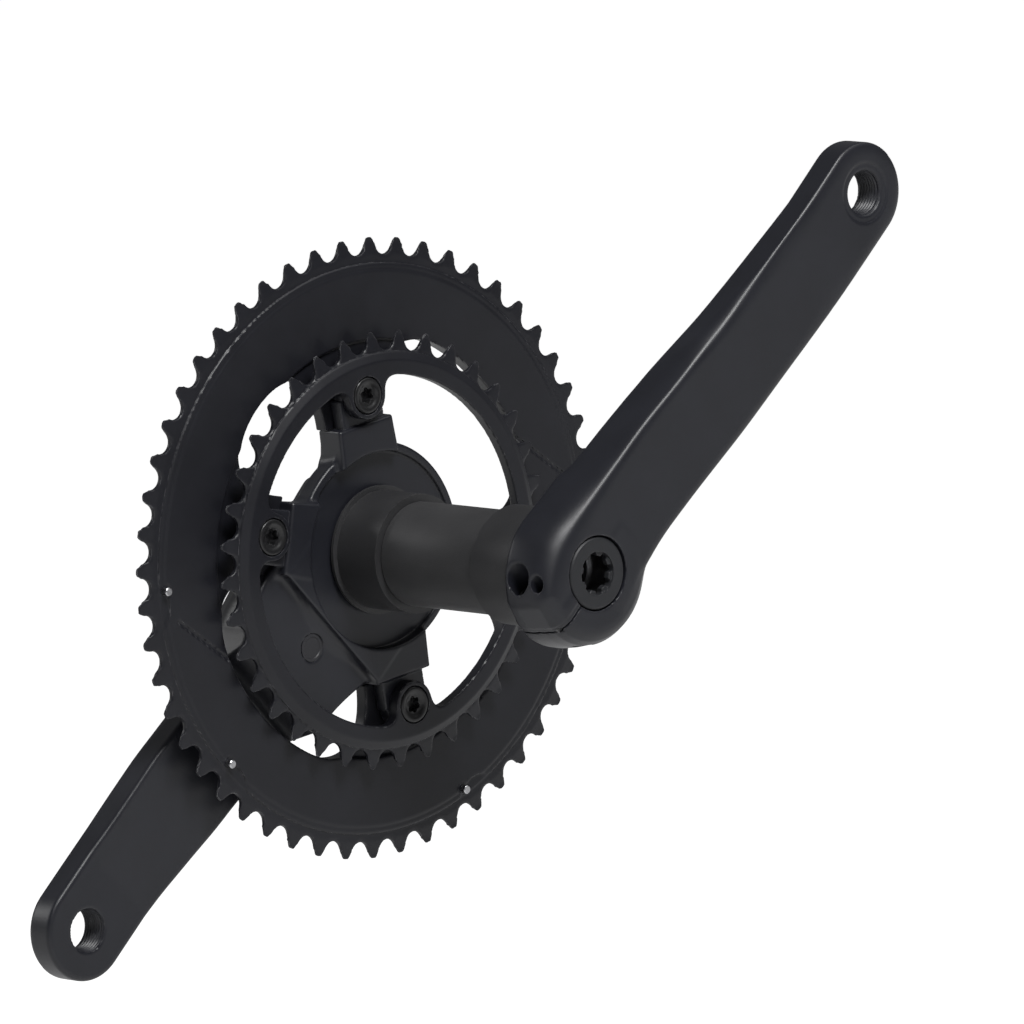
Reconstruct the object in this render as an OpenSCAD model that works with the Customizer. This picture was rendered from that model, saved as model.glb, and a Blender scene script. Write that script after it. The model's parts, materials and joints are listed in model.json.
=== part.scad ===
// Two-piece road crankset with bottom bracket.
// Origin: middle of the bottom bracket on the spindle axis.
// +X to the rear of the bicycle, +Y to the drive side, +Z up. Millimetres.

/* [Crank arms] */
// Spindle axis to pedal axis
crank_length = 170; // [165:2.5:175]
// Left arm angle above the +X axis at rest
crank_angle = 46.3; // [0:0.1:90]
// Distance between the two outer pedal faces
q_factor = 148; // [140:1:160]
// Thickness of the pedal eyes
eye_thick = 12; // [10:0.5:16]
// Outer radius of the pedal eyes
eye_r = 17.5; // [14:0.5:20]
// Pedal thread diameter
pedal_thread_d = 14.3; // [14:0.1:15]
// Centre plane to the inner face of each arm hub
hub_in_y = 45.5; // [44:0.1:50]
// Centre plane to the outer face of each arm hub
hub_out_y = 65; // [60:0.5:70]
// Outer radius of the left hub
hub_r = 26.5; // [22:0.5:30]

/* [Spindle] */
// Spindle outer diameter
spindle_d = 24; // [22:0.5:30]
// Spindle bore diameter
spindle_bore = 18; // [12:0.5:20]

/* [Chainrings] */
// Outer chainring teeth
outer_teeth = 52; // [50:1:54]
// Inner chainring teeth
inner_teeth = 36; // [34:1:38]
// Chain pitch
pitch = 12.7; // [12.7:0.1:12.7]
// Tooth seat diameter
seat_d = 7.8; // [7:0.1:9]
// Centre plane of the outer teeth
outer_y = 48.5; // [47:0.1:50]
// Centre plane of the inner teeth
inner_y = 41; // [39:0.1:43]
// Tooth width
tooth_w = 2.2; // [1.8:0.1:2.6]
// Bolt circle diameter
bolt_circle = 110; // [110:1:130]
// Near bolts, either side of the crank arm
near_angle = 55; // [45:1:65]
// Far bolts, either side of the crank arm
far_angle = 125; // [115:1:135]

/* [Clamp] */
// Distance from the spindle axis to the clamp bolts
clamp_u = 18; // [17:0.5:20]
// Spacing of the two clamp bolts
clamp_gap = 9.2; // [8.8:0.2:11]
// Clamp slot width
slot_w = 1.2; // [0.8:0.1:2]
// Clamp slot height off the spindle axis
slot_v = -2; // [-4:0.1:0]

/* [Bottom bracket] */
// Frame shell width
shell_w = 86.5; // [86.5:0.1:86.5]
// Frame shell bore
shell_bore = 41; // [41:0.1:41]
// Bearing outer diameter
bearing_od = 37; // [36:0.5:38]
// Bearing width
bearing_w = 7; // [6:0.5:8]
// Ball diameter
ball_d = 3.5; // [3:0.1:4]
// Balls in each bearing
ball_n = 16; // [12:1:18]

/* [Hidden] */
$fn = 96;
fit = 0.02;
outer_pr = pitch / (2 * sin(180 / outer_teeth));
inner_pr = pitch / (2 * sin(180 / inner_teeth));
outer_tip_r = outer_pr + 2.05;
inner_tip_r = inner_pr + 2.85;
eye_out_y = q_factor / 2;
eye_in_y = eye_out_y - eye_thick;
bolt_r = bolt_circle / 2;
bolt_angles = [near_angle, far_angle, -far_angle, -near_angle];
ring_face_y = 38;
pad_y = 42.2;
tab_y = 47;
ring_out_y = 52.6;
spider_y = 41;
plate_y = 45;
clamp_mid_y = -(hub_in_y + hub_out_y) / 2;
clamp_in_y = clamp_mid_y + clamp_gap / 2;
clamp_out_y = clamp_mid_y - clamp_gap / 2;
clamp_seat = 5.5;
clamp_head_d = 8.5;
pocket_w = 2.4;
plate_w = 1.8;
cap_seat_y = -61.6;
bearing_out_y = shell_w / 2 + 1.35;
bearing_in_y = bearing_out_y - bearing_w;
bearing_mid_y = bearing_out_y - bearing_w / 2;
ball_pr = 15.5;
inner_race_r = 12.5;
pin_angles = [-41.6, -0.5, 69.4];
outer_phase = 2.55;
inner_phase = 8.9;

// ---- helpers ----

// A flat profile in X and Z, solid between two Y values.
module along_y(y0, y1) {
    translate([0, y1, 0])
        rotate([90, 0, 0])
            linear_extrude(height = y1 - y0)
                children();
}

// A profile of radius and Y, turned about the spindle axis.
module turn_y() {
    rotate([-90, 0, 0])
        rotate_extrude()
            children();
}

// A plain cylinder on the spindle axis.
module disc_y(r, y0, y1) {
    along_y(y0, y1)
        circle(r = r);
}

// Puts +X along the left arm.
module left_frame() {
    rotate([0, -crank_angle, 0])
        children();
}

// Puts +X along the right arm.
module right_frame() {
    rotate([0, -crank_angle - 180, 0])
        children();
}

// Repeats the children at the four chainring bolts.
module at_bolts() {
    for (a = bolt_angles)
        rotate([0, -a, 0])
            translate([bolt_r, 0, 0])
                children();
}

// Mirrors a right-hand part to the left side.
module on_side(side) {
    mirror([0, side > 0 ? 0 : 1, 0])
        children();
}

function polar(r, a) = [r * cos(a), r * sin(a)];

// One tooth space, from one tip to the next, about angle a.
function tooth_space(pr, tip_r, a) =
    let (s = seat_d / 2,
         half = pitch / 2 * tip_r / pr,
         deg = 180 / PI)
    concat(
        [polar(tip_r, a - half / tip_r * deg),
         polar(tip_r - 0.35, a - (half - 1.3) / tip_r * deg),
         polar(pr + 0.2, a - 4.35 / pr * deg)],
        [for (b = [-65, -35, 0, 35, 65])
            polar(pr - s * cos(b), a + s * sin(b) / pr * deg)],
        [polar(pr + 0.2, a + 4.15 / pr * deg),
         polar(tip_r - 0.35, a + (half - 0.9) / tip_r * deg)]);

// Flat outline of a toothed ring, tips at angle phase.
module sprocket(teeth, pr, tip_r, phase) {
    polygon([for (i = [0 : teeth - 1])
        each tooth_space(pr, tip_r, phase + (i + 0.5) * 360 / teeth)]);
}

// Toothed plate with a round hole of radius hole_r.
module tooth_plate(teeth, pr, tip_r, phase, yc, hole_r) {
    difference() {
        along_y(yc - tooth_w / 2, yc + tooth_w / 2)
            sprocket(teeth, pr, tip_r, phase);
        disc_y(hole_r, yc - 10, yc + 10);
    }
}

// Flat bolt tab that blends into a ring of inner radius ring_r.
module tab_2d(ring_r, tab_r, blend) {
    d = ring_r - blend + 0.2;
    reach = tab_r + blend - 0.2;
    a = acos((d * d + bolt_r * bolt_r - reach * reach) / (2 * bolt_r * d));
    difference() {
        union() {
            translate([bolt_r, 0])
                circle(r = tab_r);
            polygon([[bolt_r, 0], polar(d, a), polar(ring_r + 1, a),
                     [ring_r + 3, 0], polar(ring_r + 1, -a), polar(d, -a)]);
        }
        for (s = [-1, 1])
            translate(polar(d, s * a))
                circle(r = blend);
    }
}

// ---- bottom bracket ----

module cup() {
    turn_y()
        polygon([[16.5, 24], [shell_bore / 2, 24],
                 [shell_bore / 2, shell_w / 2],
                 [22.2, shell_w / 2], [22.2, 44.4], [21.6, 45],
                 [bearing_od / 2 + fit, 45],
                 [bearing_od / 2 + fit, bearing_in_y],
                 [16.5, bearing_in_y]]);
}

module bb_cup_left() {
    color([0.09, 0.09, 0.1])
        on_side(-1)
            cup();
}

module bb_cup_right() {
    color([0.09, 0.09, 0.1])
        on_side(1)
            cup();
}

module bb_sleeve() {
    color([0.12, 0.12, 0.13])
        turn_y()
            polygon([[15, -30], [16.5 - fit, -30], [16.5 - fit, -24],
                     [18, -23.6], [18, 23.6], [16.5 - fit, 24],
                     [16.5 - fit, 30], [15, 30]]);
}

module outer_race() {
    difference() {
        turn_y()
            polygon([[16.3, bearing_in_y], [bearing_od / 2, bearing_in_y],
                     [bearing_od / 2, bearing_out_y], [17.2, bearing_out_y],
                     [17.2, bearing_out_y - 0.9], [16.3, bearing_out_y - 0.9]]);
        turn_y()
            translate([ball_pr, bearing_mid_y])
                circle(r = ball_d / 2 + 0.06);
    }
}

module inner_race() {
    difference() {
        turn_y()
            polygon([[inner_race_r, bearing_in_y], [14.7, bearing_in_y],
                     [14.7, bearing_out_y], [inner_race_r, bearing_out_y]]);
        turn_y()
            translate([ball_pr, bearing_mid_y])
                circle(r = ball_d / 2 + 0.06);
    }
}

module outer_race_left() {
    color([0.72, 0.73, 0.75])
        on_side(-1)
            outer_race();
}

module outer_race_right() {
    color([0.72, 0.73, 0.75])
        on_side(1)
            outer_race();
}

module inner_race_left() {
    color([0.72, 0.73, 0.75])
        on_side(-1)
            inner_race();
}

module inner_race_right() {
    color([0.72, 0.73, 0.75])
        on_side(1)
            inner_race();
}

// Rubber-faced shield seated in the outer race.
module bearing_seal() {
    turn_y()
        polygon([[14.95, bearing_out_y - 0.9], [17.2 - fit, bearing_out_y - 0.9],
                 [17.2 - fit, bearing_out_y - 0.2], [14.95, bearing_out_y - 0.2]]);
}

module bearing_seal_left() {
    color([0.05, 0.05, 0.05])
        on_side(-1)
            bearing_seal();
}

module bearing_seal_right() {
    color([0.05, 0.05, 0.05])
        on_side(1)
            bearing_seal();
}

module at_balls() {
    for (i = [0 : ball_n - 1])
        rotate([0, i * 360 / ball_n, 0])
            translate([ball_pr, bearing_mid_y, 0])
                children();
}

module balls() {
    at_balls()
        sphere(d = ball_d);
}

module ball_cage() {
    difference() {
        turn_y()
            polygon([[15.1, bearing_mid_y - 2.3], [15.9, bearing_mid_y - 2.3],
                     [15.9, bearing_mid_y + 2.3], [15.1, bearing_mid_y + 2.3]]);
        at_balls()
            rotate([0, 90, 0])
                cylinder(d = ball_d + 0.1, h = 4, center = true);
    }
}

module bearing_balls_left() {
    color([0.82, 0.83, 0.85])
        on_side(-1)
            balls();
}

module bearing_balls_right() {
    color([0.82, 0.83, 0.85])
        on_side(1)
            balls();
}

module ball_cage_left() {
    color([0.75, 0.72, 0.6])
        on_side(-1)
            ball_cage();
}

module ball_cage_right() {
    color([0.75, 0.72, 0.6])
        on_side(1)
            ball_cage();
}

// Plastic cover that centres the inner race on the spindle.
module dust_cover() {
    turn_y()
        polygon([[spindle_d / 2 + fit, bearing_in_y],
                 [inner_race_r - fit, bearing_in_y],
                 [inner_race_r - fit, bearing_out_y + 0.05],
                 [17.8, bearing_out_y + 0.2],
                 [17.8, hub_in_y - 0.2], [17.3, hub_in_y],
                 [spindle_d / 2 + fit, hub_in_y]]);
}

module dust_cover_left() {
    color([0.07, 0.07, 0.08])
        on_side(-1)
            dust_cover();
}

module dust_cover_right() {
    color([0.07, 0.07, 0.08])
        on_side(1)
            dust_cover();
}

// ---- crank ----

module spindle() {
    color([0.66, 0.67, 0.69])
        difference() {
            turn_y()
                polygon([[spindle_bore / 2, -61], [11.4, -61],
                         [spindle_d / 2, -60.4], [spindle_d / 2, 56],
                         [13.2, 56.6], [13.2, 61.4], [12.6, 62],
                         [spindle_bore / 2, 62]]);
            disc_y(10, -62, -50);
            left_frame()
                translate([-12, clamp_mid_y - 0.6, slot_v])
                    rotate([0, 90, 0])
                        cylinder(d = 6, h = 8, center = true);
        }
}

// Outline of one arm seen along the spindle.
module arm_outline(widths) {
    polygon(concat([for (w = widths) [w[0], -w[1]]],
                   [for (i = [len(widths) - 1 : -1 : 0])
                       [widths[i][0], widths[i][1]]]));
    translate([crank_length, 0])
        circle(r = eye_r);
}

// Solid from a profile of X and Y, wide in Z.
module side_profile(points, wide) {
    translate([0, 0, -wide / 2])
        linear_extrude(height = wide)
            polygon(points);
}

// Threaded pedal hole and its washer seat.
module pedal_hole(s) {
    translate([crank_length, 0, 0]) {
        disc_y(pedal_thread_d / 2, -100, 100);
        if (s > 0)
            disc_y(10.2, eye_out_y - 0.8, 90);
        else
            disc_y(10.2, -90, -eye_out_y + 0.8);
    }
}

module left_crank_arm() {
    widths = [[0, 22], [30, 22.2], [57, 21.6], [79, 19.8], [101, 18.3],
              [124, 17.6], [148, 17.5], [crank_length, eye_r]];
    side = [[0, -hub_in_y], [24, -hub_in_y], [28, -48],
            [150, -eye_in_y], [200, -eye_in_y],
            [200, -eye_out_y], [150, -eye_out_y], [0, -hub_out_y]];
    color([0.13, 0.135, 0.15])
        left_frame()
            difference() {
                union() {
                    turn_y()
                        polygon([[0, -hub_out_y], [17.5, -hub_out_y],
                                 [20.6, -64.4], [23.2, -62.8], [24.8, -60.4],
                                 [25.7, -56], [hub_r, -50], [hub_r, -47],
                                 [25.5, -hub_in_y], [0, -hub_in_y]]);
                    along_y(-64.9, -47)
                        polygon([[0, -17.6], [-10, -17.6], [-18.6, -14.6],
                                 [-23.6, -9.4], [-24.4, -4], [0, -4]]);
                    intersection() {
                        along_y(-90, -40)
                            arm_outline(widths);
                        side_profile(side, 80);
                        left_edges();
                    }
                }
                disc_y(spindle_d / 2 + fit, -70, -40);
                disc_y(12.9, -70, cap_seat_y);
                left_clamp_cuts();
                pedal_hole(-1);
            }
}

// Body that slopes the long outer edges of the left arm.
module left_edges() {
    rotate([90, 0, 90])
        translate([0, 0, -40])
            linear_extrude(height = 240)
                polygon([[-40, -23], [-52, -23], [-66, -18.6],
                         [-73, -16.2], [-75, -14], [-75, 14], [-73, 16.2],
                         [-66, 18.6], [-52, 23], [-40, 23]]);
}

// Clamp slot, stopper pocket and the two clamp bolt holes.
module left_clamp_cuts() {
    translate([-40, -80, slot_v - slot_w / 2])
        cube([40, 50, slot_w]);
    translate([-40, -62.4, slot_v - pocket_w / 2])
        cube([40, 16.1, pocket_w]);
    clamp_hole(clamp_in_y, 1);
    clamp_hole(clamp_out_y, -1);
}

// Stepped clamp bolt hole, head on the +Z side when s is 1.
module clamp_hole(y, s) {
    translate([-clamp_u, y, slot_v])
        rotate([s > 0 ? 0 : 180, 0, 0]) {
            translate([0, 0, clamp_seat])
                cylinder(d = clamp_head_d + 0.3, h = 30);
            cylinder(d = 6.4, h = 20);
            translate([0, 0, -40])
                cylinder(d = 6, h = 41);
        }
}

module at_clamp_bolts() {
    translate([-clamp_u, clamp_in_y, slot_v])
        children();
    translate([-clamp_u, clamp_out_y, slot_v])
        rotate([180, 0, 0])
            children();
}

module clamp_bolts() {
    color([0.1, 0.1, 0.11])
        left_frame()
            at_clamp_bolts()
                difference() {
                    union() {
                        translate([0, 0, clamp_seat + 1])
                            cylinder(d = clamp_head_d, h = 5);
                        translate([0, 0, clamp_seat + 6])
                            cylinder(d1 = clamp_head_d, d2 = clamp_head_d - 0.8, h = 0.4);
                        translate([0, 0, -11])
                            cylinder(d = 6 - 2 * fit, h = clamp_seat + 12);
                    }
                    translate([0, 0, clamp_seat + 3.2])
                        cylinder(d = 5.77, h = 4, $fn = 6);
                }
}

module clamp_washers() {
    color([0.6, 0.61, 0.63])
        left_frame()
            at_clamp_bolts()
                translate([0, 0, clamp_seat])
                    difference() {
                        cylinder(d = clamp_head_d + 0.1, h = 1);
                        translate([0, 0, -1])
                            cylinder(d = 6.3, h = 3);
                    }
}

// Safety plate in the clamp slot, its peg enters the spindle.
module stopper_plate() {
    color([0.3, 0.31, 0.32])
        left_frame()
            translate([0, 0, slot_v - plate_w / 2])
                difference() {
                    union() {
                        translate([-clamp_u, clamp_in_y, 0])
                            cylinder(d = 8, h = plate_w);
                        translate([-24, clamp_mid_y - 1, 0])
                            cube([8, 1 - clamp_mid_y + clamp_in_y, plate_w]);
                        translate([-24, -61.4, 0])
                            cube([2.4, 8, plate_w]);
                        translate([-16.5, clamp_mid_y - 1, 0])
                            cube([5.6, 2, plate_w]);
                    }
                    translate([-clamp_u, clamp_in_y, -1])
                        cylinder(d = 6.3, h = plate_w + 2);
                }
}

module preload_cap() {
    color([0.08, 0.08, 0.09])
        difference() {
            turn_y()
                polygon([[0, -64.9], [11.8, -64.9], [12.4, -64.3],
                         [12.4, cap_seat_y], [10 - fit, cap_seat_y],
                         [10 - fit, -53], [0, -53]]);
            disc_y(6.3, -70, -50);
            disc_y(8.2, -60.4, -50);
            for (i = [0 : 7])
                rotate([0, i * 45 + 10, 0])
                    translate([6.6, 0, 0])
                        disc_y(1.5, -70, -50);
        }
}

// Spider arms and the hub plateau, seen along the spindle.
module spider_2d(reach, half) {
    for (a = bolt_angles)
        rotate(a)
            translate([0, -half])
                square([reach, 2 * half]);
}

module right_crank_arm() {
    widths = [[0, 29], [35, 29], [44, 26], [53, 21], [62, 20.5], [80, 20.6],
              [100, 20.2], [115, 19.4], [126, 18.6], [148, 17.7],
              [crank_length, eye_r]];
    side = [[0, plate_y], [64, plate_y], [70, 54.6], [150, eye_in_y],
            [200, eye_in_y], [200, eye_out_y], [150, eye_out_y],
            [0, hub_out_y]];
    color([0.13, 0.135, 0.15])
        right_frame()
            difference() {
                union() {
                    intersection() {
                        along_y(40, 90)
                            arm_outline(widths);
                        side_profile(side, 80);
                        right_edges();
                    }
                    turn_y()
                        polygon([[0, plate_y], [36, plate_y], [36, 52.6],
                                 [30, 57], [22, 63.5], [18, hub_out_y],
                                 [0, hub_out_y]]);
                    along_y(spider_y, ring_out_y)
                        spider_2d(45, 12.4);
                    along_y(spider_y, 48)
                        polygon([[0, -28.5], [35, -28.5], [35, 28.5], [0, 28.5]]);
                    at_bolts_pads();
                }
                disc_y(34, 30, hub_in_y);
                disc_y(spindle_d / 2 + 1.2 + fit, 55.9, 62);
                disc_y(spindle_d / 2 + fit, 40, 57);
                disc_y(10.5, 60, 70);
                along_y(30, 60)
                    at_bolts_2d()
                        circle(d = 8.4);
                translate([44, 0, 0])
                    disc_y(4.8, 40, plate_y + 1.6);
                pedal_hole(1);
            }
}

// Flat bolt positions for a hole pattern.
module at_bolts_2d() {
    for (a = bolt_angles)
        rotate(a)
            translate([bolt_r, 0])
                children();
}

// Pads that sit between the inner ring and the outer ring.
module at_bolts_pads() {
    along_y(pad_y, tab_y)
        for (a = bolt_angles)
            rotate(a) {
                translate([40, -10])
                    square([15, 20]);
                translate([bolt_r, 0])
                    circle(r = 8.6);
            }
}

// Body that slopes the long outer edges of the right arm.
module right_edges() {
    rotate([90, 0, 90])
        translate([0, 0, -40])
            linear_extrude(height = 240)
                polygon([[40, -30], [56, -30], [58, -22], [66, -18.8],
                         [73, -16.4], [75, -14], [75, 14], [73, 16.4],
                         [66, 18.8], [58, 22], [56, 30], [40, 30]]);
}

// Round plug set in the inner face of the right arm.
module arm_plug() {
    color([0.2, 0.2, 0.22])
        right_frame()
            translate([44, 0, 0])
                turn_y()
                    polygon([[0, plate_y + 0.3], [3.6, plate_y + 0.3],
                             [3.9, plate_y], [4.8 - fit, plate_y],
                             [4.8 - fit, plate_y + 1.6], [0, plate_y + 1.6]]);
}

// ---- chainrings ----

// Broad tabs that carry the outer ring's bolt threads.
module outer_tabs_2d() {
    for (a = bolt_angles)
        rotate(a) {
            difference() {
                tab_2d(74.5, 12.8, 11);
                translate([-1, -60])
                    square([46.4, 120]);
            }
            translate([45.4, -12.8])
                square([9.6, 25.6]);
        }
}

module outer_chainring() {
    color([0.1, 0.1, 0.11])
        right_frame()
            difference() {
                union() {
                    tooth_plate(outer_teeth, outer_pr, outer_tip_r, outer_phase, outer_y, 80);
                    turn_y()
                        polygon([[74.5, 46.4], [97.6, 46.4], [98.1, 46.9],
                                 [98.1, 50.4], [94, ring_out_y],
                                 [74.5, ring_out_y]]);
                    along_y(tab_y, ring_out_y)
                        outer_tabs_2d();
                }
                along_y(40, 60)
                    at_bolts_2d()
                        circle(d = 8);
                for (a = pin_angles)
                    rotate([0, -a, 0])
                        translate([96, 0, 0])
                            disc_y(1.5, 40, 60);
                shift_ramps();
            }
}

// Shallow pick-up pockets on the inner face of the outer ring.
module shift_ramps() {
    for (a = pin_angles)
        rotate([0, -a - 5, 0])
            translate([104.5, 0, 0])
                disc_y(9, 40, 46.9);
}

// Steel pins that lift the chain, riveted in the outer ring.
module shift_pins() {
    color([0.78, 0.79, 0.8])
        right_frame()
            for (a = pin_angles)
                rotate([0, -a, 0])
                    translate([96, 0, 0])
                        turn_y()
                            polygon([[0, 44.6], [1.2, 44.6], [1.5 - fit, 44.9],
                                     [1.5 - fit, 51.2], [0, 51.2]]);
}

module inner_chainring() {
    color([0.1, 0.1, 0.11])
        right_frame()
            difference() {
                union() {
                    tooth_plate(inner_teeth, inner_pr, inner_tip_r, inner_phase, inner_y, 64);
                    turn_y()
                        polygon([[60.5, ring_face_y], [65.6, ring_face_y],
                                 [68.6, 39.9], [68.6, pad_y], [60.5, pad_y]]);
                    along_y(ring_face_y, pad_y)
                        for (a = bolt_angles)
                            rotate(a)
                                tab_2d(60.5, 8.2, 9);
                }
                along_y(30, 50)
                    at_bolts_2d()
                        circle(d = 8.4);
                along_y(30, ring_face_y + 2)
                    at_bolts_2d()
                        circle(d = 13);
            }
}

module chainring_bolts() {
    color([0.09, 0.09, 0.1])
        right_frame()
            at_bolts()
                difference() {
                    turn_y()
                        polygon([[0, 37.8], [5.6, 37.8], [6.25, 38.4],
                                 [6.25, 40], [4 - fit, 40],
                                 [4 - fit, 52], [0, 52]]);
                    disc_y(2.1, 30, 41.6);
                    for (i = [0 : 5])
                        rotate([0, i * 60, 0])
                            translate([2.2, 0, 0])
                                disc_y(0.62, 30, 41.6);
                }
}

// ---- nodes ----

bb_cup_left();
bb_cup_right();
bb_sleeve();
outer_race_left();
outer_race_right();
bearing_seal_left();
bearing_seal_right();
ball_cage_left();
ball_cage_right();
bearing_balls_left();
bearing_balls_right();
inner_race_left();
inner_race_right();
dust_cover_left();
dust_cover_right();
spindle();
right_crank_arm();
arm_plug();
left_crank_arm();
clamp_bolts();
clamp_washers();
stopper_plate();
preload_cap();
outer_chainring();
shift_pins();
inner_chainring();
chainring_bolts();
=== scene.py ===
"""Looks for a two-piece road crankset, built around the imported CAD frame.

Lengths in the shape functions are millimetres; meshes are written in metres.
Arm frame: u along the arm from the spindle axis, v across it, w outward along the spindle.
"""
import json
import math

import bmesh
import bpy
import numpy as np
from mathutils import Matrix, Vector


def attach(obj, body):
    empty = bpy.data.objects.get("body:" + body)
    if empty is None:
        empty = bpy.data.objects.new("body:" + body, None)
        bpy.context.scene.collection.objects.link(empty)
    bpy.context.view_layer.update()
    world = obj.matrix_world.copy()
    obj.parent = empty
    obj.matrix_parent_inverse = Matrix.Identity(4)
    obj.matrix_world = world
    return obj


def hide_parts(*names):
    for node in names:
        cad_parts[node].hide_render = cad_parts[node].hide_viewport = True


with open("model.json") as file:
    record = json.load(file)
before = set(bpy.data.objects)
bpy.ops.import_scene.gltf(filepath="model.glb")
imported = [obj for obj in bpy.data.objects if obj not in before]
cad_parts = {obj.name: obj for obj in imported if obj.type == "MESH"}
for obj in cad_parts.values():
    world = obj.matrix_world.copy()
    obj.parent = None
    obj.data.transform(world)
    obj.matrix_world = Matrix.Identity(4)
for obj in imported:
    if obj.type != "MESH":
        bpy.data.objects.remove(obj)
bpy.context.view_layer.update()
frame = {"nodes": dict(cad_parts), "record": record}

MM = 0.001

PEDAL = next(m["pos_m"] for m in frame["record"]["mounts"] if m["name"] == "pedal_thread_left")
ARM_ANGLE = math.atan2(PEDAL[2], PEDAL[0])

EYE_U = 170.0                               # pedal hole, from the spindle axis
HUB_W = 45.5                                # inner face of the left hub
SLOT_V = -2.0                               # middle of the clamp slot
CLAMP_U = 18.0                              # clamp screws, on the far side of the spindle axis
CLAMP_IN_W, CLAMP_OUT_W = 50.65, 59.85      # inboard and outboard clamp screw
BOLT_R = 55.0                               # radius of the chainring bolts' circle
BOLT_ANGLES = (55.0, 125.0, -125.0, -55.0)  # chainring bolts, from the right arm
CHAIN_PITCH = 12.7


# ---------------------------------------------------------------- placing

def arm_matrix(side):
    """3x3 that turns (u, w, v) of one arm into the row frame. side is -1 left, 1 right."""
    a = ARM_ANGLE if side < 0 else ARM_ANGLE + math.pi
    c, s = math.cos(a), math.sin(a)
    return np.array([[c, 0.0, -s], [0.0, float(side), 0.0], [s, 0.0, c]])


def place(points, side):
    return points @ arm_matrix(side).T * MM


def link_mesh(name, verts, faces, smooth=True):
    mesh = bpy.data.meshes.new(name)
    mesh.from_pydata([tuple(map(float, p)) for p in verts], [],
                     [tuple(map(int, f)) for f in faces])
    mesh.validate()
    if smooth:
        mesh.polygons.foreach_set("use_smooth", [True] * len(mesh.polygons))
    mesh.update()
    obj = bpy.data.objects.new(name, mesh)
    bpy.context.scene.collection.objects.link(obj)
    return obj


def edit_mesh(obj, change):
    """Runs change(bm) on an object's mesh."""
    bm = bmesh.new()
    bm.from_mesh(obj.data)
    change(bm)
    bm.to_mesh(obj.data)
    bm.free()


def face_out(obj):
    """Turns all faces outward."""
    edit_mesh(obj, lambda bm: bmesh.ops.recalc_face_normals(bm, faces=bm.faces))


def sharpen(obj, degrees):
    """Marks edges sharper than an angle, so faces either side shade apart."""
    limit = math.radians(degrees)

    def mark(bm):
        for e in bm.edges:
            if len(e.link_faces) == 2 and e.calc_face_angle(0.0) > limit:
                e.smooth = False

    edit_mesh(obj, mark)


def on_circle(radius, degrees):
    """Point (u, v) on a circle about the spindle axis."""
    return radius * math.cos(math.radians(degrees)), radius * math.sin(math.radians(degrees))


def from_bolt(u, v, degrees):
    """Distance from the axis of the chainring bolt at an angle."""
    cu, cv = on_circle(BOLT_R, degrees)
    return np.hypot(u - cu, v - cv)


def turned(u, v, degrees):
    """(u, v) in axes whose first one points at an angle."""
    c, s = on_circle(1.0, degrees)
    return u * c + v * s, -u * s + v * c


# ---------------------------------------------------------------- solids from distance fields

def smin(a, b, k):
    """Smaller of two distances, blended over k."""
    h = np.clip(0.5 + 0.5 * (b - a) / k, 0.0, 1.0)
    return b * (1 - h) + a * h - k * h * (1 - h)


def smax(a, b, k):
    """Larger of two distances, blended over k."""
    return -smin(-a, -b, k)


def table(x, pairs):
    xs, ys = zip(*pairs)
    return np.interp(x, xs, ys)


def smooth_table(x, pairs, soft=5.0):
    """A table with its corners rounded over about soft millimetres."""
    total = 0.0
    for o in (-1.0, -0.5, 0.0, 0.5, 1.0):
        total = total + table(x + o * soft, pairs)
    return total / 5.0


def surface_net(field, low, high, step, rounds=3):
    """Closed quad mesh of field(x, y, z) = 0 inside a box."""
    axes = [np.arange(low[i], high[i] + step, step) for i in range(3)]
    n = [len(a) for a in axes]
    values = np.empty(n, np.float32)
    for i in range(0, n[0], 24):
        x, y, z = np.meshgrid(axes[0][i:i + 24], axes[1], axes[2], indexing="ij")
        values[i:i + 24] = field(x, y, z)
    inside = values < 0
    cells = (n[0] - 1, n[1] - 1, n[2] - 1)
    count = np.zeros(cells[0] * cells[1] * cells[2])
    total = np.zeros((count.size, 3))
    quads = []
    for ax in range(3):
        b, c = (ax + 1) % 3, (ax + 2) % 3
        s0 = [slice(None)] * 3
        s1 = [slice(None)] * 3
        s0[ax], s1[ax] = slice(0, -1), slice(1, None)
        crossing = inside[tuple(s0)] != inside[tuple(s1)]
        at = np.argwhere(crossing)
        keep = (at[:, b] > 0) & (at[:, c] > 0) & (at[:, b] < n[b] - 1) & (at[:, c] < n[c] - 1)
        at = at[keep]
        f0 = values[tuple(s0)][tuple(at.T)]
        f1 = values[tuple(s1)][tuple(at.T)]
        t = f0 / (f0 - f1)
        p = np.stack([axes[i][at[:, i]] for i in range(3)], 1).astype(float)
        p[:, ax] += t * step
        corner = []
        for db, dc in ((-1, -1), (0, -1), (0, 0), (-1, 0)):
            q = at.copy()
            q[:, b] += db
            q[:, c] += dc
            flat = (q[:, 0] * cells[1] + q[:, 1]) * cells[2] + q[:, 2]
            corner.append(flat)
            count += np.bincount(flat, minlength=count.size)
            for i in range(3):
                total[:, i] += np.bincount(flat, weights=p[:, i], minlength=count.size)
        quad = np.stack(corner, 1)
        turn = f0 > 0
        quad[turn] = quad[turn][:, ::-1]
        quads.append(quad)
    used = np.flatnonzero(count)
    index = np.full(count.size, -1, np.int64)
    index[used] = np.arange(used.size)
    points = total[used] / count[used][:, None]
    faces = index[np.concatenate(quads)]
    e = 0.02
    for _ in range(rounds):
        f = field(*points.T)
        slopes = []
        for i in range(3):
            nudge = e * np.eye(3)[i]
            slopes.append(field(*(points + nudge).T) - field(*(points - nudge).T))
        g = np.stack(slopes, 1) / (2 * e)
        move = (f / np.maximum((g * g).sum(1), 0.2))[:, None] * g
        length = np.linalg.norm(move, axis=1, keepdims=True)
        move *= np.minimum(1.0, 0.35 * step / np.maximum(length, 1e-9))
        points = points - move
    return points, faces


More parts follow.
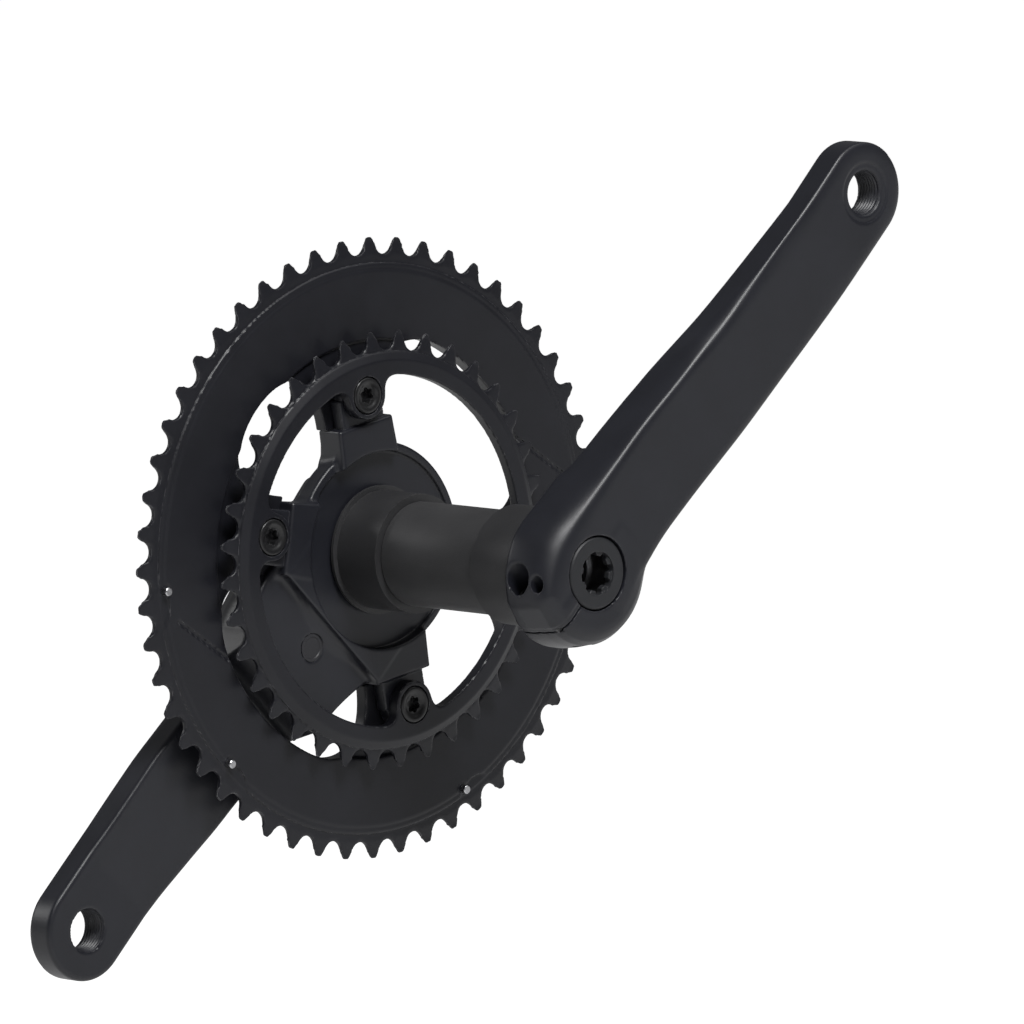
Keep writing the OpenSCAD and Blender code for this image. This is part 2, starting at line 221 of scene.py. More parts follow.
def solid(name, field, low, high, step, side, crease):
    """Mesh object of a distance field given in one arm's (u, w, v)."""
    points, faces = surface_net(field, low, high, step)
    obj = link_mesh(name, place(points, side), faces)
    face_out(obj)
    sharpen(obj, crease)
    return obj


# ---------------------------------------------------------------- arm shapes

# Outer face of an arm along its length: (u, w).
OUT_W = [(-40, 65.0), (0, 65.0), (30, 66.5), (150, 73.9), (200, 73.9)]

# Half widths along the arm, (u, |v|), on its upper (v >= 0) and lower side: the edge of the outer
# face, and the widest line below its bevel. BEVEL_W is the height of that line. CROWN_V is the left
# hub's half width at its inner face.
EDGE_UP = [(-40, 1.6), (-26, 6.8), (-22, 8.4), (-14, 11.5), (-6, 14.3), (1, 16.1), (12, 17.8), (26, 18.8),
        (51, 19.4), (63, 18.9), (75, 17.9), (92, 16.0), (108, 15.4), (143, 15.8), (170, 16.2), (200, 16.2)]
SIDE_UP = [(-40, 7.5), (-28, 12.4), (-18, 16.5), (-8, 20.5), (-2, 22.2), (8, 22.6), (30, 22.3), (57, 22.0),
        (68, 21.1), (77, 20.3), (88, 19.2), (99, 18.2), (119, 17.6), (142, 17.3), (170, 17.4), (200, 17.4)]
CROWN_V = [(-40, 4.0), (-27, 6.0), (-24, 10.5), (-18, 18.0), (-12, 22.0), (-6, 24.3), (0, 24.9), (8, 24.2),
         (16, 23.4), (25, 22.7), (33, 22.3), (57, 22.0), (70, 21.0), (90, 19.0), (200, 17.4)]
BEVEL_W = [(-40, 55.0), (42, 55.5), (51, 57.5), (59, 60.0), (68, 62.4), (77, 64.6), (88, 66.0),
         (99, 67.4), (110, 69.2), (119, 70.6), (130, 72.0), (142, 72.7), (170, 73.0), (200, 73.0)]
EDGE_LOW = [(-40, 17.0), (0, 17.2), (10, 16.0), (28, 13.8), (50, 14.5), (74, 15.5), (99, 15.9),
         (124, 16.0), (150, 15.9), (170, 16.2), (200, 16.2)]
SIDE_LOW = [(-40, 22.0), (30, 20.0), (60, 19.4), (80, 18.8), (99, 18.2), (124, 17.6), (150, 17.3),
         (170, 17.4), (200, 17.4)]


def bar(u, w, v, inner, soft_out, soft_in, grow=0.0, crowned=False):
    """Arm from hub to eye: flat outer face, long bevels and side walls.

    grow widens it, and crowned gives the hub one rounded upper side in place of bevel and wall.
    """
    out = smooth_table(u, OUT_W, 6.0)
    ue = np.minimum(u, EYE_U)
    across = np.where(u > EYE_U, np.hypot(u - EYE_U, v), np.abs(v))
    up = v >= 0
    edge = np.where(up, smooth_table(ue, EDGE_UP, 5.0), smooth_table(ue, EDGE_LOW, 5.0)) + grow
    wide = np.where(up, smooth_table(ue, SIDE_UP, 5.0), smooth_table(ue, SIDE_LOW, 5.0)) + grow
    low = smooth_table(ue, BEVEL_W, 5.0)
    drop = out - low
    run = wide - edge
    bevel = ((across - edge) * drop + (w - out) * run) / np.hypot(drop, run)
    wall = across - wide
    round_up = np.where(up, smooth_table(ue, [(-40, 9.0), (45, 9.0), (85, 2.0), (200, 0.8)], 5.0), 1.6)
    d = smax(wall, bevel, round_up)
    if crowned:
        foot = 46.0
        back = smooth_table(ue, CROWN_V, 2.0)
        depth = out - foot
        reach = np.clip((w - foot) / depth, 0.0, 1.2)
        fall = back - smooth_table(ue, EDGE_UP, 4.0)
        lean = fall * (0.5 * reach ** 1.5 + 0.5 * reach ** 7)
        slope = fall * (0.75 * reach ** 0.5 + 3.5 * reach ** 6) / depth
        side = (across - back + lean) / np.sqrt(1.0 + slope ** 2)
        t = np.clip((ue - 42.0) / 40.0, 0.0, 1.0)
        t = t * t * (3.0 - 2.0 * t)
        d = np.where(up, side * (1.0 - t) + d * t, d)
    d = smax(d, (w - out) * 0.998, soft_out)
    return smax(d, inner - w, soft_in)


def cut_eye(d, u, w, v):
    """Pedal hole, with a shallow seat and a chamfer on the outer face."""
    r = np.hypot(u - EYE_U, v)
    d = smax(d, 7.6 - r, 0.3)
    d = smax(d, -np.maximum(r - 10.2, 73.2 - w), 0.8)
    return smax(d, -(r - 7.6 - (w - 72.6)) * 0.707, 0.2)


def left_arm(u, w, v):
    inner = smooth_table(u, [(-40, 45.5), (22, 45.6), (27, 48.0), (150, 62.0), (200, 62.0)], 1.2)
    r = np.hypot(u, v)
    d = bar(u, w, v, inner, 2.2, 1.6, crowned=True)
    d = smax(d, np.where(v < 0.0, -u - 1.0, -60.0), 1.0)
    # round lower half of the hub, below the clamp slot
    low = r - table(w, [(45.5, 26.5), (50.0, 26.5), (56.0, 25.7), (60.4, 24.8), (62.8, 23.2),
                        (64.4, 20.8), (65.0, 18.0)])
    low = smax(smax(low, v - 3.0, 0.5), HUB_W - w, 1.4)
    low = smax(low, w - 65.0, 1.5)
    d = smin(d, low, 3.0)
    d = smax(d, (w - smooth_table(u, OUT_W, 6.0)) * 0.998, 1.6)
    # flat end of the hub, past the clamp screws
    end = -0.985 * u + 0.17 * v
    end = end - table(w, [(45.5, 25.6), (50.0, 25.7), (60.5, 24.6), (63.0, 22.8), (65.0, 19.6)])
    d = smax(d, end, 1.4)
    # spindle bore and cap seat
    d = smax(d, 12.05 - r, 0.4)
    d = smax(d, -smax(r - 12.85, 61.6 - w, 0.1), 0.35)
    # clamp slot and the pocket for the safety plate
    slot = np.maximum(np.abs(v - SLOT_V) - 0.3, u)
    d = smax(d, -slot, 0.2)
    pocket = np.maximum(np.maximum(np.abs(v - SLOT_V) - 1.0, u), np.abs(w - 54.35) - 8.05)
    pocket = np.maximum(pocket, -u - 23.6)
    d = smax(d, -pocket, 0.2)
    # clamp screw holes: inboard head hole and shank, outboard thread end, outboard head hole
    big = np.hypot((u + 17.4) * 1.08, (w - 51.4) / 1.06)
    d = smax(d, -np.maximum(big - 4.4, 3.5 - v), 0.7)
    d = smax(d, -np.maximum(np.hypot(u + CLAMP_U, w - CLAMP_IN_W) - 3.0, np.abs(v) - 12.0), 0.3)
    small = np.hypot(u + 17.6, w - 59.2)
    d = smax(d, -np.maximum(small - 2.3, -v - 2.0), 0.6)
    d = smax(d, -np.maximum(np.hypot(u + CLAMP_U, w - 57.4) - 2.9, v + 9.5), 0.4)
    return cut_eye(d, u, w, v)


def right_arm(u, w, v):
    inner = smooth_table(u, [(-40, 45.0), (63, 45.0), (69.5, 54.6), (150, 62.0), (200, 62.0)], 1.0)
    root = smooth_table(u, [(-40, 12.0), (35, 7.5), (44, 4.6), (55, 1.6), (70, 0.8), (110, 1.6),
                            (140, 0.2), (200, 0.0)], 4.0)
    front = smooth_table(u, [(-40, 0.0), (26, 2.0), (36, 6.0), (44, 8.0), (54, 8.0), (64, 3.5),
                             (82, 0.0), (200, 0.0)], 4.0)
    d = smax(bar(u, w, v, inner, 3.2, 1.8, root + np.where(v < 0, front, 0.0)), -u - 8.0, 4.0)
    r = np.hypot(u, v)
    hub = smax(smax(r - 36.0, w - 52.6, 1.5), 45.0 - w, 0.6)
    dome = smax((r - 31.0 + (w - 52.0) * 0.62) * 0.85, w - 65.0, 6.0)
    dome = smax(dome, 47.0 - w, 0.6)
    hub = smin(hub, dome, 6.0)
    d = smin(d, hub, 4.0)
    # spider arms, each with a pad between the rings
    arms = None
    pads = None
    for deg in BOLT_ANGLES:
        x, y = turned(u, v, deg)
        half = smooth_table(x, [(0, 14.5), (30, 13.2), (45, 12.4), (60, 12.4)], 4.0)
        back = 52.6 + np.clip((40.0 - x) * 0.16, 0.0, 5.0)
        a = smax(np.abs(y) - half, smax(x - 45.0, -x, 0.4), 0.6)
        a = smax(smax(a, 41.0 - w, 1.2), w - back, 1.6)
        arms = a if arms is None else smin(arms, a, 1.0)
        pad = np.minimum(smax(np.abs(y) - 9.6, np.abs(x - 47.0) - 8.0, 0.4), np.hypot(x - BOLT_R, y) - 8.6)
        pad = smax(pad, np.abs(w - 44.6) - 2.4, 0.4)
        pads = pad if pads is None else np.minimum(pads, pad)
    plateau = smax(smax(np.abs(v) - 28.5, np.abs(u - 17.0) - 18.0, 1.0), np.abs(w - 44.5) - 3.5, 0.8)
    arms = smin(arms, plateau, 0.8)
    d = smin(d, arms, 2.5)
    d = np.minimum(d, pads)
    # relief behind the bearing, spindle bore, and the wider bore at the outer end
    d = smax(d, -smax(r - 34.0, w - 45.5, 0.6), 0.8)
    d = smax(d, 12.05 - r, 0.3)
    d = smax(d, -np.maximum(r - 13.25, np.abs(w - 58.95) - 3.05), 0.3)
    d = smax(d, 10.5 - r + np.where(w < 61.8, -50.0, 0.0), 0.8)
    for deg in BOLT_ANGLES:
        d = smax(d, 4.2 - from_bolt(u, v, deg), 0.3)
    d = cut_eye(d, u, w, v)
    # seat of the round plug
    return smax(d, -np.maximum(np.hypot(u - 44.0, v) - 4.85, w - 46.6), 0.3)


# ---------------------------------------------------------------- chainring shapes

def tooth_field(r, turn, teeth, phase, tip, seat):
    """2-D distance to a toothed disc.

    turn is in degrees from the right arm, and phase is the angle of one tip.
    """
    pitch = 360.0 / teeth
    centre = CHAIN_PITCH / (2.0 * math.sin(math.pi / teeth))
    t = np.radians(np.mod(turn - phase, pitch) - pitch / 2.0)
    x = r * np.cos(t) - centre
    y = r * np.sin(t)
    lean = np.where(y > 0, y * 0.95, -y * 1.02)
    wedge = np.maximum((lean - (4.2 + 0.62 * (x - 0.2))) * 0.85, -x)
    space = smin(np.hypot(x, y) - seat, wedge, 0.5)
    return smax(r - tip, -space, 0.5)


def toothed_plate(d2, r, w, low, high, root):
    """Plate whose teeth thin towards their tips."""
    mid, half = (low + high) / 2.0, (high - low) / 2.0
    thin = np.clip((r - root) * 0.17, 0.0, 0.75)
    edge = np.clip((d2 + 1.1) * 0.30, 0.0, 0.4)
    return smax(d2, (np.abs(w - mid) - half + np.maximum(thin, edge)) * 0.95, 0.3)


def groove(r, turn, r0, a0, r1, a1, width):
    """Distance from a line that runs from (r0, a0) to (r1, a1) on the ring's face."""
    x, y = r * np.cos(np.radians(turn)), r * np.sin(np.radians(turn))
    ax, ay = on_circle(r0, a0)
    bx, by = on_circle(r1, a1)
    dx, dy = bx - ax, by - ay
    t = np.clip(((x - ax) * dx + (y - ay) * dy) / (dx * dx + dy * dy), 0.0, 1.0)
    return np.hypot(x - ax - t * dx, y - ay - t * dy) - width


def outer_ring(u, w, v):
    """52 teeth on a wide ring with four tabs."""
    r = np.hypot(u, v)
    turn = np.degrees(np.arctan2(v, u))
    d2 = tooth_field(r, turn, 52, 2.55, 107.2, 3.9)
    teeth = smax(toothed_plate(d2, r, w, 47.4, 49.6, 101.3), 80.0 - r, 0.3)
    inner = 74.5 - r
    for deg in BOLT_ANGLES:
        x, y = turned(u, v, deg)
        tab = smax(smax(np.abs(y) - 12.8, 45.4 - x, 0.6), x - 84.0, 0.6)
        inner = smin(inner, tab, 30.0)
    # the inboard face steps back at the rim and on the tabs
    face = 46.4 + 0.35 * np.clip((r - 95.6) / 0.8, 0.0, 1.0) + 1.1 * np.clip((72.4 - r) / 0.8, 0.0, 1.0)
    body = smax(smax(r - 98.3, (face - w) * 0.9, 0.35), inner, 0.4)
    body = smax(body, w - 52.6, 0.6)
    body = smax(body, ((r - 94.0) * 0.47 + (w - 52.6)) * 0.9, 0.8)
    d = smin(body, teeth, 0.4)
    for deg in BOLT_ANGLES:
        d = smax(d, 4.0 - from_bolt(u, v, deg), 0.2)
    # shallow dish in the rim by each shift pin, the pin's hole, and two engraved lines
    for deg in (-41.6, -0.5, 69.4, 139.0):
        px, py = on_circle(104.0, deg + 3.0)
        dish = np.hypot(u - px, v - py) - 9.5
        d = smax(d, -np.maximum(dish, w - 47.15), 0.3)
        if deg in (-41.6, 139.0):
            line = groove(r, turn, 91.5, deg + 7.1, 75.0, deg + 21.5, 0.6)
            d = smax(d, -np.maximum(line, w - 46.8), 0.15)
        px, py = on_circle(96.0, deg)
        d = smax(d, -np.maximum(np.hypot(u - px, v - py) - 2.4, w - 46.7), 0.15)
    return d


def inner_ring(u, w, v):
    """36 teeth on a narrow ring with four round tabs."""
    r = np.hypot(u, v)
    turn = np.degrees(np.arctan2(v, u))
    d2 = tooth_field(r, turn, 36, 8.9, 75.7, 3.9)
    teeth = smax(toothed_plate(d2, r, w, 40.0, 42.2, 69.6), 62.0 - r, 0.3)
    inner = 60.5 - r
    for deg in BOLT_ANGLES:
        x, y = turned(u, v, deg)
        tab = np.minimum(np.hypot(x - BOLT_R, y) - 8.2, smax(np.abs(y) - 8.2, np.abs(x - 60.0) - 5.0, 0.3))
        inner = smin(inner, tab, 7.0)
    body = smax(smax(r - 68.5, inner, 0.3), np.abs(w - 40.1) - 2.1, 0.5)
    body = smax(body, ((r - 65.6) * 0.53 + (38.0 - w)) * 0.88, 0.15)
    d = smin(body, teeth, 0.15)
    for deg in BOLT_ANGLES:
        rb = from_bolt(u, v, deg)
        d = smax(d, 4.2 - rb, 0.2)
        d = smax(d, -np.maximum(rb - 6.5, w - 40.0), 0.3)
    return d


# ---------------------------------------------------------------- small parts

def preload_cap(u, w, v):
    """Cap on the left end: a plain mouth, and splined driving teeth set back inside it."""
    r = np.hypot(u, v)
    t = np.degrees(np.arctan2(v, u)) - 10.0
    lobe = 45.0
    off = np.radians(np.mod(t + lobe / 2.0, lobe) - lobe / 2.0)
    notch = smax(np.abs(r * np.sin(off)) - 1.35, r - 7.35, 0.8)
    bore = np.minimum(r - 5.95, notch)
    d = smax(smax(r - 12.4, np.abs(w - 63.25) - 1.65, 0.5), 11.9 - r - np.where(w > 61.9, 20.0, 0.0), 0.1)
    d = smax(d, -bore, 0.3)
    d = smax(d, -smax(r - 7.35, 64.1 - w, 0.1), 0.25)
    return smax(d, (r - 12.1 + (w - 64.5) * 0.9) * 0.72, 0.2)


def chainring_bolt(u, w, v):
    """Flanged bolt with a dished head and a six-lobed recess, head inboard."""
    out = np.stack([from_bolt(u, v, deg) for deg in BOLT_ANGLES])
    r = out.min(axis=0)
    nearest = out.argmin(axis=0)
    cu = np.choose(nearest, [on_circle(BOLT_R, deg)[0] for deg in BOLT_ANGLES])
    cv = np.choose(nearest, [on_circle(BOLT_R, deg)[1] for deg in BOLT_ANGLES])
    t = np.arctan2(v - cv, u - cu)
    head = smax(smax(r - 6.2, np.abs(w - 38.9) - 1.1, 0.2), ((r - 5.9) - (w - 37.8)) * 0.7, 0.3)
    shank = smax(r - 3.96, np.abs(w - 45.5) - 6.5, 0.5)
    d = smin(head, shank, 0.4)
    dish = (r - 4.7 + (w - 37.8) * 1.6) * 0.53
    d = smax(d, -smax(dish, w - 38.6, 0.2), 0.25)
    lobe = (r - 2.65 - 0.38 * np.cos(6.0 * t)) * 0.8
    return smax(d, -np.maximum(lobe, w - 41.4), 0.15)


def bolt_set(step, crease):
    """The four chainring bolts, meshed one after another into one object."""
    verts, faces, base = [], [], 0
    for deg in BOLT_ANGLES:
        cu, cv = on_circle(BOLT_R, deg)
        p, f = surface_net(chainring_bolt, (cu - 7.0, 37.0, cv - 7.0),
                           (cu + 7.0, 53.0, cv + 7.0), step)
        verts.append(p)
        faces.append(f + base)
        base += len(p)
    obj = link_mesh("ring_bolts", place(np.concatenate(verts), 1), np.concatenate(faces))
    face_out(obj)
    sharpen(obj, crease)
    return obj


def clamp_screws(u, w, v):
    """The two clamp screws, heads on opposite sides of the clamp slot."""
    v = v - SLOT_V
    seat = 6.55
    d = None
    for mid, facing, rim, head in ((CLAMP_IN_W, 1.0, 3.4, 11.6), (CLAMP_OUT_W, -1.0, 3.5, 10.0)):
        r = np.hypot(u + CLAMP_U, w - mid)
        top = smax(r - rim, np.abs(v * facing - 0.5 * (head + seat)) - 0.5 * (head - seat), 0.5)
        top = smax(top, -smax(r - 2.2, head - 2.6 - v * facing, 0.2), 0.2)
        stem = smax(r - 2.9, np.abs(v * facing + 2.2) - 8.8, 0.4)
        one = np.minimum(top, stem)
        d = one if d is None else np.minimum(d, one)
    return d


def thread_tube(side, low, high):
    """Thread of a pedal eye, 20 to the inch, as a thin sleeve of the arm's own metal.

    It is left-handed in the left arm and right-handed in the right one.
    """
    pitch, around, rows_per_turn = 1.27, 72, 8
    rows = int((high - low) / pitch * rows_per_turn)
    ring_t = np.arange(around) / around
    verts, faces = [], []
    for layer in (0, 1):
        for j in range(rows + 1):
            w = low + (high - low) * j / rows
            if layer == 0:
                saw = np.abs(np.mod(w / pitch + side * ring_t, 1.0) - 0.5) * 2.0
                fade = min(1.0, (w - low) / 1.0, (high - w) / 1.0)
                rad = 7.62 - 0.55 * np.clip(saw * 1.2 - 0.1, 0.0, 1.0) * max(0.0, fade)
            else:
                rad = np.full(around, 8.1)
            a = ring_t * (2.0 * math.pi)
            verts.append(np.stack([EYE_U + rad * np.cos(a), np.full(around, w), rad * np.sin(a)], 1))
    verts = np.concatenate(verts)
    half = (rows + 1) * around
    for j in range(rows):
        for i in range(around):
            k = (i + 1) % around
            a, b = j * around + i, j * around + k
            c, e = b + around, a + around
            faces.append((a, b, c, e))
            faces.append((a + half, e + half, c + half, b + half))
    for j in (0, rows):
        for i in range(around):
            k = (i + 1) % around
            a, b = j * around + i, j * around + k
            faces.append((a, b, b + half, a + half))
    return place(verts, side), faces


def with_thread(obj, side):
    """Joins the thread sleeve into an arm's mesh."""
    points, faces = thread_tube(side, 62.5, 72.5)
    tube = link_mesh("thread", points, faces)
    face_out(tube)
    bpy.ops.object.select_all(action="DESELECT")
    tube.select_set(True)
    obj.select_set(True)
    bpy.context.view_layer.objects.active = obj
    bpy.ops.object.join()
    obj.select_set(False)


# ---------------------------------------------------------------- materials

def add_node(tree, kind, **sockets):
    """New shader node with constants on its sockets: to_min=0.3 sets To Min."""
    node = tree.nodes.new(kind)
    for name, value in sockets.items():
        node.inputs[name.replace("_", " ").title()].default_value = value
    return node


def worn_edges(tree, where, base, width, colour):
    """Mixes a paler colour into base along convex edges, in broken patches."""
    link = tree.links.new
    soft = add_node(tree, "ShaderNodeBevel", radius=width * MM)
    soft.samples = 4
    shape = add_node(tree, "ShaderNodeNewGeometry")
    dot = add_node(tree, "ShaderNodeVectorMath")
    dot.operation = "DOT_PRODUCT"
    link(soft.outputs["Normal"], dot.inputs[0])
    link(shape.outputs["Normal"], dot.inputs[1])
    edge = add_node(tree, "ShaderNodeMapRange", from_min=0.985, from_max=0.86)
    link(dot.outputs["Value"], edge.inputs["Value"])
    patch = add_node(tree, "ShaderNodeTexNoise", scale=420.0, detail=4.0)
    link(where, patch.inputs["Vector"])
    broken = add_node(tree, "ShaderNodeMapRange", from_min=0.42, from_max=0.68)
    link(patch.outputs["Fac"], broken.inputs["Value"])
    amount = add_node(tree, "ShaderNodeMath")
    amount.operation = "MULTIPLY"
    link(edge.outputs["Result"], amount.inputs[0])
    link(broken.outputs["Result"], amount.inputs[1])
    mix = add_node(tree, "ShaderNodeMix")
    mix.data_type = "RGBA"
    link(amount.outputs[0], mix.inputs["Factor"])
    link(base, mix.inputs["A"])
    mix.inputs["B"].default_value = colour
    return mix.outputs["Result"]


def finish_material(name, colour, rough, metallic=0.0, specular=0.5, tint=0.12, grain=9000.0, bump=0.05,
                    brushed=None, wear=None, wear_colour=(0.3, 0.3, 0.31, 1.0), rough_spread=0.08,
                    blotch=60.0):
    """Procedural surface: blotchy colour, uneven roughness, fine grain bump and worn edges."""
    m = bpy.data.materials.new(name)
    m.use_nodes = True
    tree = m.node_tree
    link = tree.links.new
    shader = tree.nodes["Principled BSDF"]
    shader.inputs["Metallic"].default_value = metallic
    shader.inputs["Specular IOR Level"].default_value = specular
    where = add_node(tree, "ShaderNodeTexCoord").outputs["Object"]

    big = add_node(tree, "ShaderNodeTexNoise", scale=blotch, detail=5.0)
    link(where, big.inputs["Vector"])
    ramp = add_node(tree, "ShaderNodeValToRGB")
    low, high = ramp.color_ramp.elements
    low.position, high.position = 0.3, 0.7
    low.color = (*[c * (1.0 - tint) for c in colour], 1.0)
    high.color = (*[min(1.0, c * (1.0 + tint)) for c in colour], 1.0)
    link(big.outputs["Fac"], ramp.inputs["Fac"])
    base = ramp.outputs["Color"]

    fine = add_node(tree, "ShaderNodeTexNoise", scale=1.0 if brushed else grain, detail=3.0)
    if brushed:
        stretch = add_node(tree, "ShaderNodeMapping", scale=brushed)
        link(where, stretch.inputs["Vector"])
        link(stretch.outputs["Vector"], fine.inputs["Vector"])
    else:
        link(where, fine.inputs["Vector"])

    # roughness follows 0.6 of the blotches and 0.4 of the grain
    half = add_node(tree, "ShaderNodeMath")
    half.operation = "MULTIPLY"
    half.inputs[1].default_value = 0.6
    link(big.outputs["Fac"], half.inputs[0])
    mixed = add_node(tree, "ShaderNodeMath")
    mixed.operation = "MULTIPLY_ADD"
    link(fine.outputs["Fac"], mixed.inputs[0])
    mixed.inputs[1].default_value = 0.4
    link(half.outputs[0], mixed.inputs[2])
    spread = add_node(tree, "ShaderNodeMapRange", to_min=max(0.03, rough - rough_spread),
                      to_max=min(1.0, rough + rough_spread))
    link(mixed.outputs[0], spread.inputs["Value"])
    link(spread.outputs["Result"], shader.inputs["Roughness"])

    if wear:
        base = worn_edges(tree, where, base, wear, wear_colour)
    link(base, shader.inputs["Base Color"])

    relief = add_node(tree, "ShaderNodeBump", strength=bump, distance=0.0002)
    link(fine.outputs["Fac"], relief.inputs["Height"])
    link(relief.outputs["Normal"], shader.inputs["Normal"])
    return m


def finishes():
    """One material for each material slot of the part."""
    turned_steel = (60.0, 9000.0, 60.0)
    rows = {
        "arm_black": dict(colour=(0.0062, 0.0066, 0.0092), rough=0.40, specular=0.27, grain=7000.0,
            bump=0.10, wear=0.5, wear_colour=(0.07, 0.07, 0.075, 1.0)),
        "ring_black": dict(colour=(0.0058, 0.0060, 0.0080), rough=0.40, specular=0.20, grain=5000.0,
            bump=0.08, wear=0.35, wear_colour=(0.12, 0.12, 0.125, 1.0)),
        "bolt_black": dict(colour=(0.007, 0.007, 0.0075), rough=0.33, specular=0.25, grain=9000.0,
            bump=0.06, wear=0.3, wear_colour=(0.09, 0.09, 0.09, 1.0)),
        "cap_black": dict(colour=(0.009, 0.0095, 0.011), rough=0.5, specular=0.25, grain=4200.0,
            bump=0.22, wear=0.3, wear_colour=(0.05, 0.05, 0.05, 1.0)),
        "cup_black": dict(colour=(0.015, 0.015, 0.016), rough=0.45, specular=0.3, grain=4000.0, bump=0.2,
            wear=0.3, wear_colour=(0.05, 0.05, 0.05, 1.0)),
        "sleeve_plastic": dict(colour=(0.02, 0.02, 0.021), rough=0.55, specular=0.3, grain=2600.0,
            bump=0.3),
        "cover_plastic": dict(colour=(0.03, 0.03, 0.032), rough=0.52, grain=3200.0, bump=0.25),
        "stopper_plastic": dict(colour=(0.05, 0.05, 0.052), rough=0.5, grain=3000.0, bump=0.2),
        "plug_grey": dict(colour=(0.012, 0.012, 0.014), rough=0.5, specular=0.25, grain=2400.0,
            bump=0.25),
        "seal_rubber": dict(colour=(0.012, 0.012, 0.012), rough=0.7, specular=0.3, grain=2600.0,
            bump=0.35),
        "cage_nylon": dict(colour=(0.45, 0.42, 0.34), rough=0.55, grain=2600.0, bump=0.2),
        "bearing_steel": dict(colour=(0.42, 0.42, 0.43), rough=0.24, metallic=1.0, brushed=turned_steel,
            bump=0.12, tint=0.06),
        "ball_steel": dict(colour=(0.55, 0.55, 0.56), rough=0.12, metallic=1.0, grain=5000.0, bump=0.02,
            tint=0.04, rough_spread=0.04),
        "spindle_steel": dict(colour=(0.30, 0.30, 0.31), rough=0.3, metallic=1.0, brushed=turned_steel,
            bump=0.15, tint=0.08, wear=0.3, wear_colour=(0.45, 0.45, 0.46, 1.0)),
        "washer_steel": dict(colour=(0.36, 0.36, 0.37), rough=0.3, metallic=1.0, grain=5000.0, bump=0.1,
            tint=0.06),
        "pin_steel": dict(colour=(0.30, 0.30, 0.31), rough=0.28, metallic=1.0, brushed=turned_steel,
            bump=0.12, tint=0.06),
    }
    return {name: finish_material(name, **values) for name, values in rows.items()}


def paint(obj, material):
    """Puts one material on all of an object."""
    if not obj.material_slots:
        obj.data.materials.append(material)
    for s in obj.material_slots:
        s.material = material


# ---------------------------------------------------------------- camera, floor and lights

def point_at(obj, az, el, distance, aim):
    """Places an object at a distance from aim and turns its -Z towards it."""
    a, e = math.radians(az), math.radians(el)
    back = Vector((math.sin(a) * math.cos(e), -math.cos(a) * math.cos(e), math.sin(e)))
    bpy.context.scene.collection.objects.link(obj)
    obj.location = Vector(aim) + back * distance
    obj.rotation_mode = "QUATERNION"
    obj.rotation_quaternion = (-back).to_track_quat("-Z", "Y")


def camera():
    """Long lens from the non-drive side, a little in front and above."""
    data = bpy.data.cameras.new("camera")
    data.sensor_width = 36.0
    data.lens = 438.9
    data.clip_start, data.clip_end = 0.5, 60.0
    cam = bpy.data.objects.new("camera", data)
    point_at(cam, -43.008, 5.666, 4.2492, (0.0123, -0.0093, 0.0159))
    bpy.context.scene.camera = cam


def area(name, az, el, distance, size, power, aim=(0.0, 0.0, 0.0)):
    """Square area light that faces aim."""
    data = bpy.data.lights.new(name, "AREA")
    data.energy = power
    data.size = size
    point_at(bpy.data.objects.new(name, data), az, el, distance, aim)


def lit_sweep(material):
    """The floor glows softly away from the object, like a lit studio sweep."""
    tree = material.node_tree
    where = add_node(tree, "ShaderNodeTexCoord")
    far = add_node(tree, "ShaderNodeVectorMath")
    far.operation = "LENGTH"
    tree.links.new(where.outputs["Object"], far.inputs[0])
    glow = add_node(tree, "ShaderNodeMapRange", from_min=1.3, from_max=3.0, to_min=0.08, to_max=0.86)
    glow.interpolation_type = "SMOOTHSTEP"
    tree.links.new(far.outputs["Value"], glow.inputs["Value"])
    shader = tree.nodes["Principled BSDF"]
    shader.inputs["Emission Color"].default_value = (1.0, 1.0, 1.0, 1.0)
    tree.links.new(glow.outputs["Result"], shader.inputs["Emission Strength"])


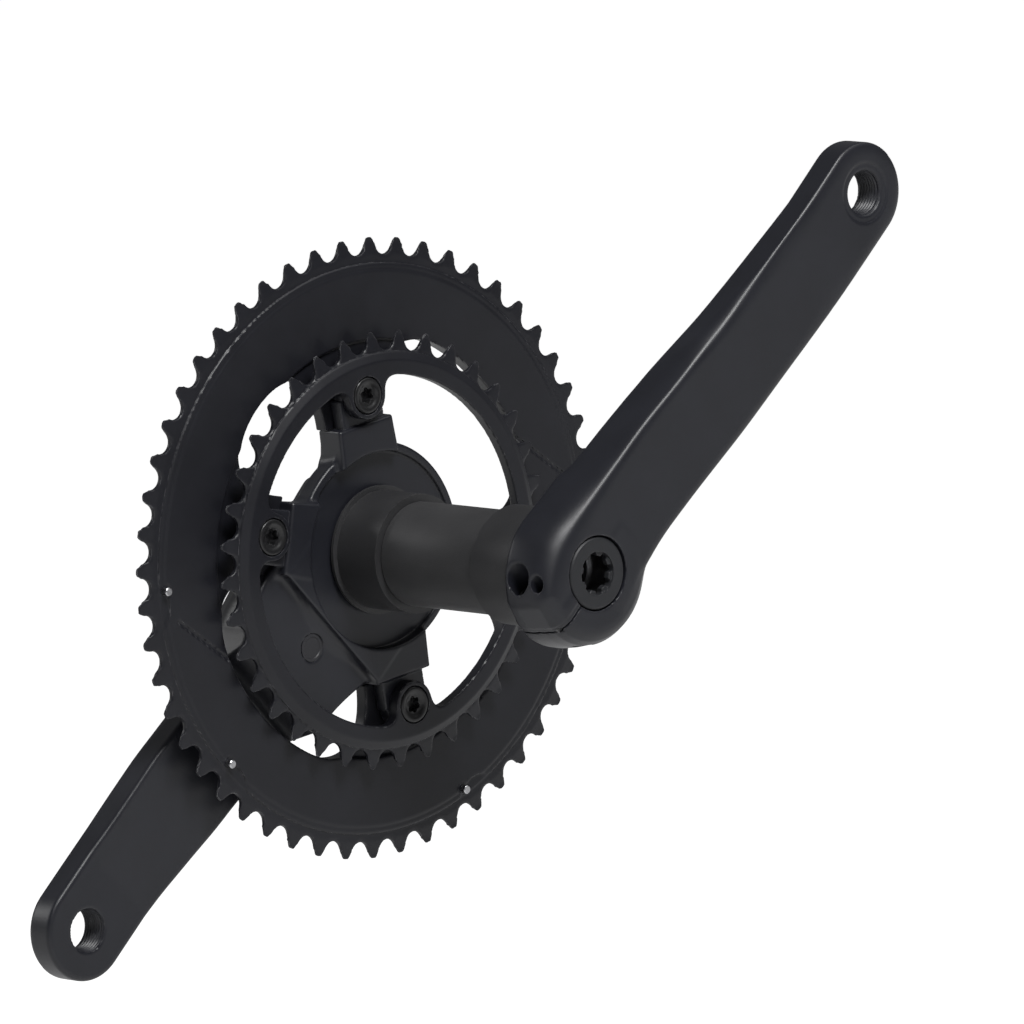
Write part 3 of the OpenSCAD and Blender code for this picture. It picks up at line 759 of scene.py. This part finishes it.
def studio():
    """Camera, pale floor and soft lights. Lengths here are metres."""
    camera()
    reach, level = 30, -0.62
    verts = [(-reach, -reach, level), (reach, -reach, level), (reach, reach, level), (-reach, reach, level)]
    floor = link_mesh("studio_floor", verts, [(0, 1, 2, 3)], smooth=False)
    pale = finish_material("floor_pale", (0.9, 0.9, 0.9), 0.9, specular=0.1, tint=0.004, grain=40.0,
                           bump=0.0, blotch=0.6, rough_spread=0.02)
    lit_sweep(pale)
    paint(floor, pale)
    world = bpy.data.worlds.new("studio")
    bpy.context.scene.world = world
    world.use_nodes = True
    sky = world.node_tree.nodes["Background"]
    sky.inputs["Color"].default_value = (1.0, 1.0, 1.0, 1.0)
    sky.inputs["Strength"].default_value = 0.16
    area("edge_light", -22.0, 53.0, 2.2, 0.7, 85.0)
    area("side_light", -142.0, 20.0, 2.4, 0.6, 14.0)
    area("near_floor", 60.0, 70.0, 3.2, 1.6, 18.0, aim=(0.3, -0.4, -0.4))
    view = bpy.context.scene.view_settings
    view.view_transform = "Standard"
    view.look = "None"


# ---------------------------------------------------------------- building

def stand_in(obj, node, slot, mats):
    """Lets a finer mesh take the place of a CAD node of the crank."""
    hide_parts(node)
    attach(obj, "crank")
    paint(obj, mats[slot])


def paint_nodes(mats):
    """Gives each CAD node the material whose name its own starts with."""
    for node in frame["nodes"].values():
        if node.material_slots and node.material_slots[0].material:
            slot = node.material_slots[0].material.name.split(".")[0]
            if slot in mats:
                paint(node, mats[slot])


def build():
    """Materials for all nodes, then the finer pieces."""
    mats = finishes()
    paint_nodes(mats)
    step = 0.55
    left = solid("left_arm", left_arm, (-28.5, 44.0, -28.5), (189.5, 76.0, 29.0), step, -1, 50.0)
    with_thread(left, -1)
    stand_in(left, "left_crank_arm", "arm_black", mats)
    right = solid("right_arm", right_arm, (-48.0, 40.0, -68.0), (189.5, 76.0, 68.5), step, 1, 50.0)
    with_thread(right, 1)
    stand_in(right, "right_crank_arm", "arm_black", mats)
    big = solid("outer_ring", outer_ring, (-108.5, 45.6, -108.5), (108.5, 53.6, 108.5), step, 1, 38.0)
    stand_in(big, "outer_chainring", "ring_black", mats)
    small = solid("inner_ring", inner_ring, (-77.0, 37.0, -77.0), (77.0, 43.2, 77.0), step, 1, 38.0)
    stand_in(small, "inner_chainring", "ring_black", mats)
    cap = solid("end_cap", preload_cap, (-13.0, 60.8, -13.0), (13.0, 65.6, 13.0), 0.3, -1, 40.0)
    stand_in(cap, "preload_cap", "cap_black", mats)
    stand_in(bolt_set(0.35, 40.0), "chainring_bolts", "bolt_black", mats)
    screws = solid("clamp_screws", clamp_screws, (-22.6, 46.2, -16.5), (-13.4, 64.4, 12.0), 0.3, -1, 40.0)
    stand_in(screws, "clamp_bolts", "bolt_black", mats)


build()
studio()
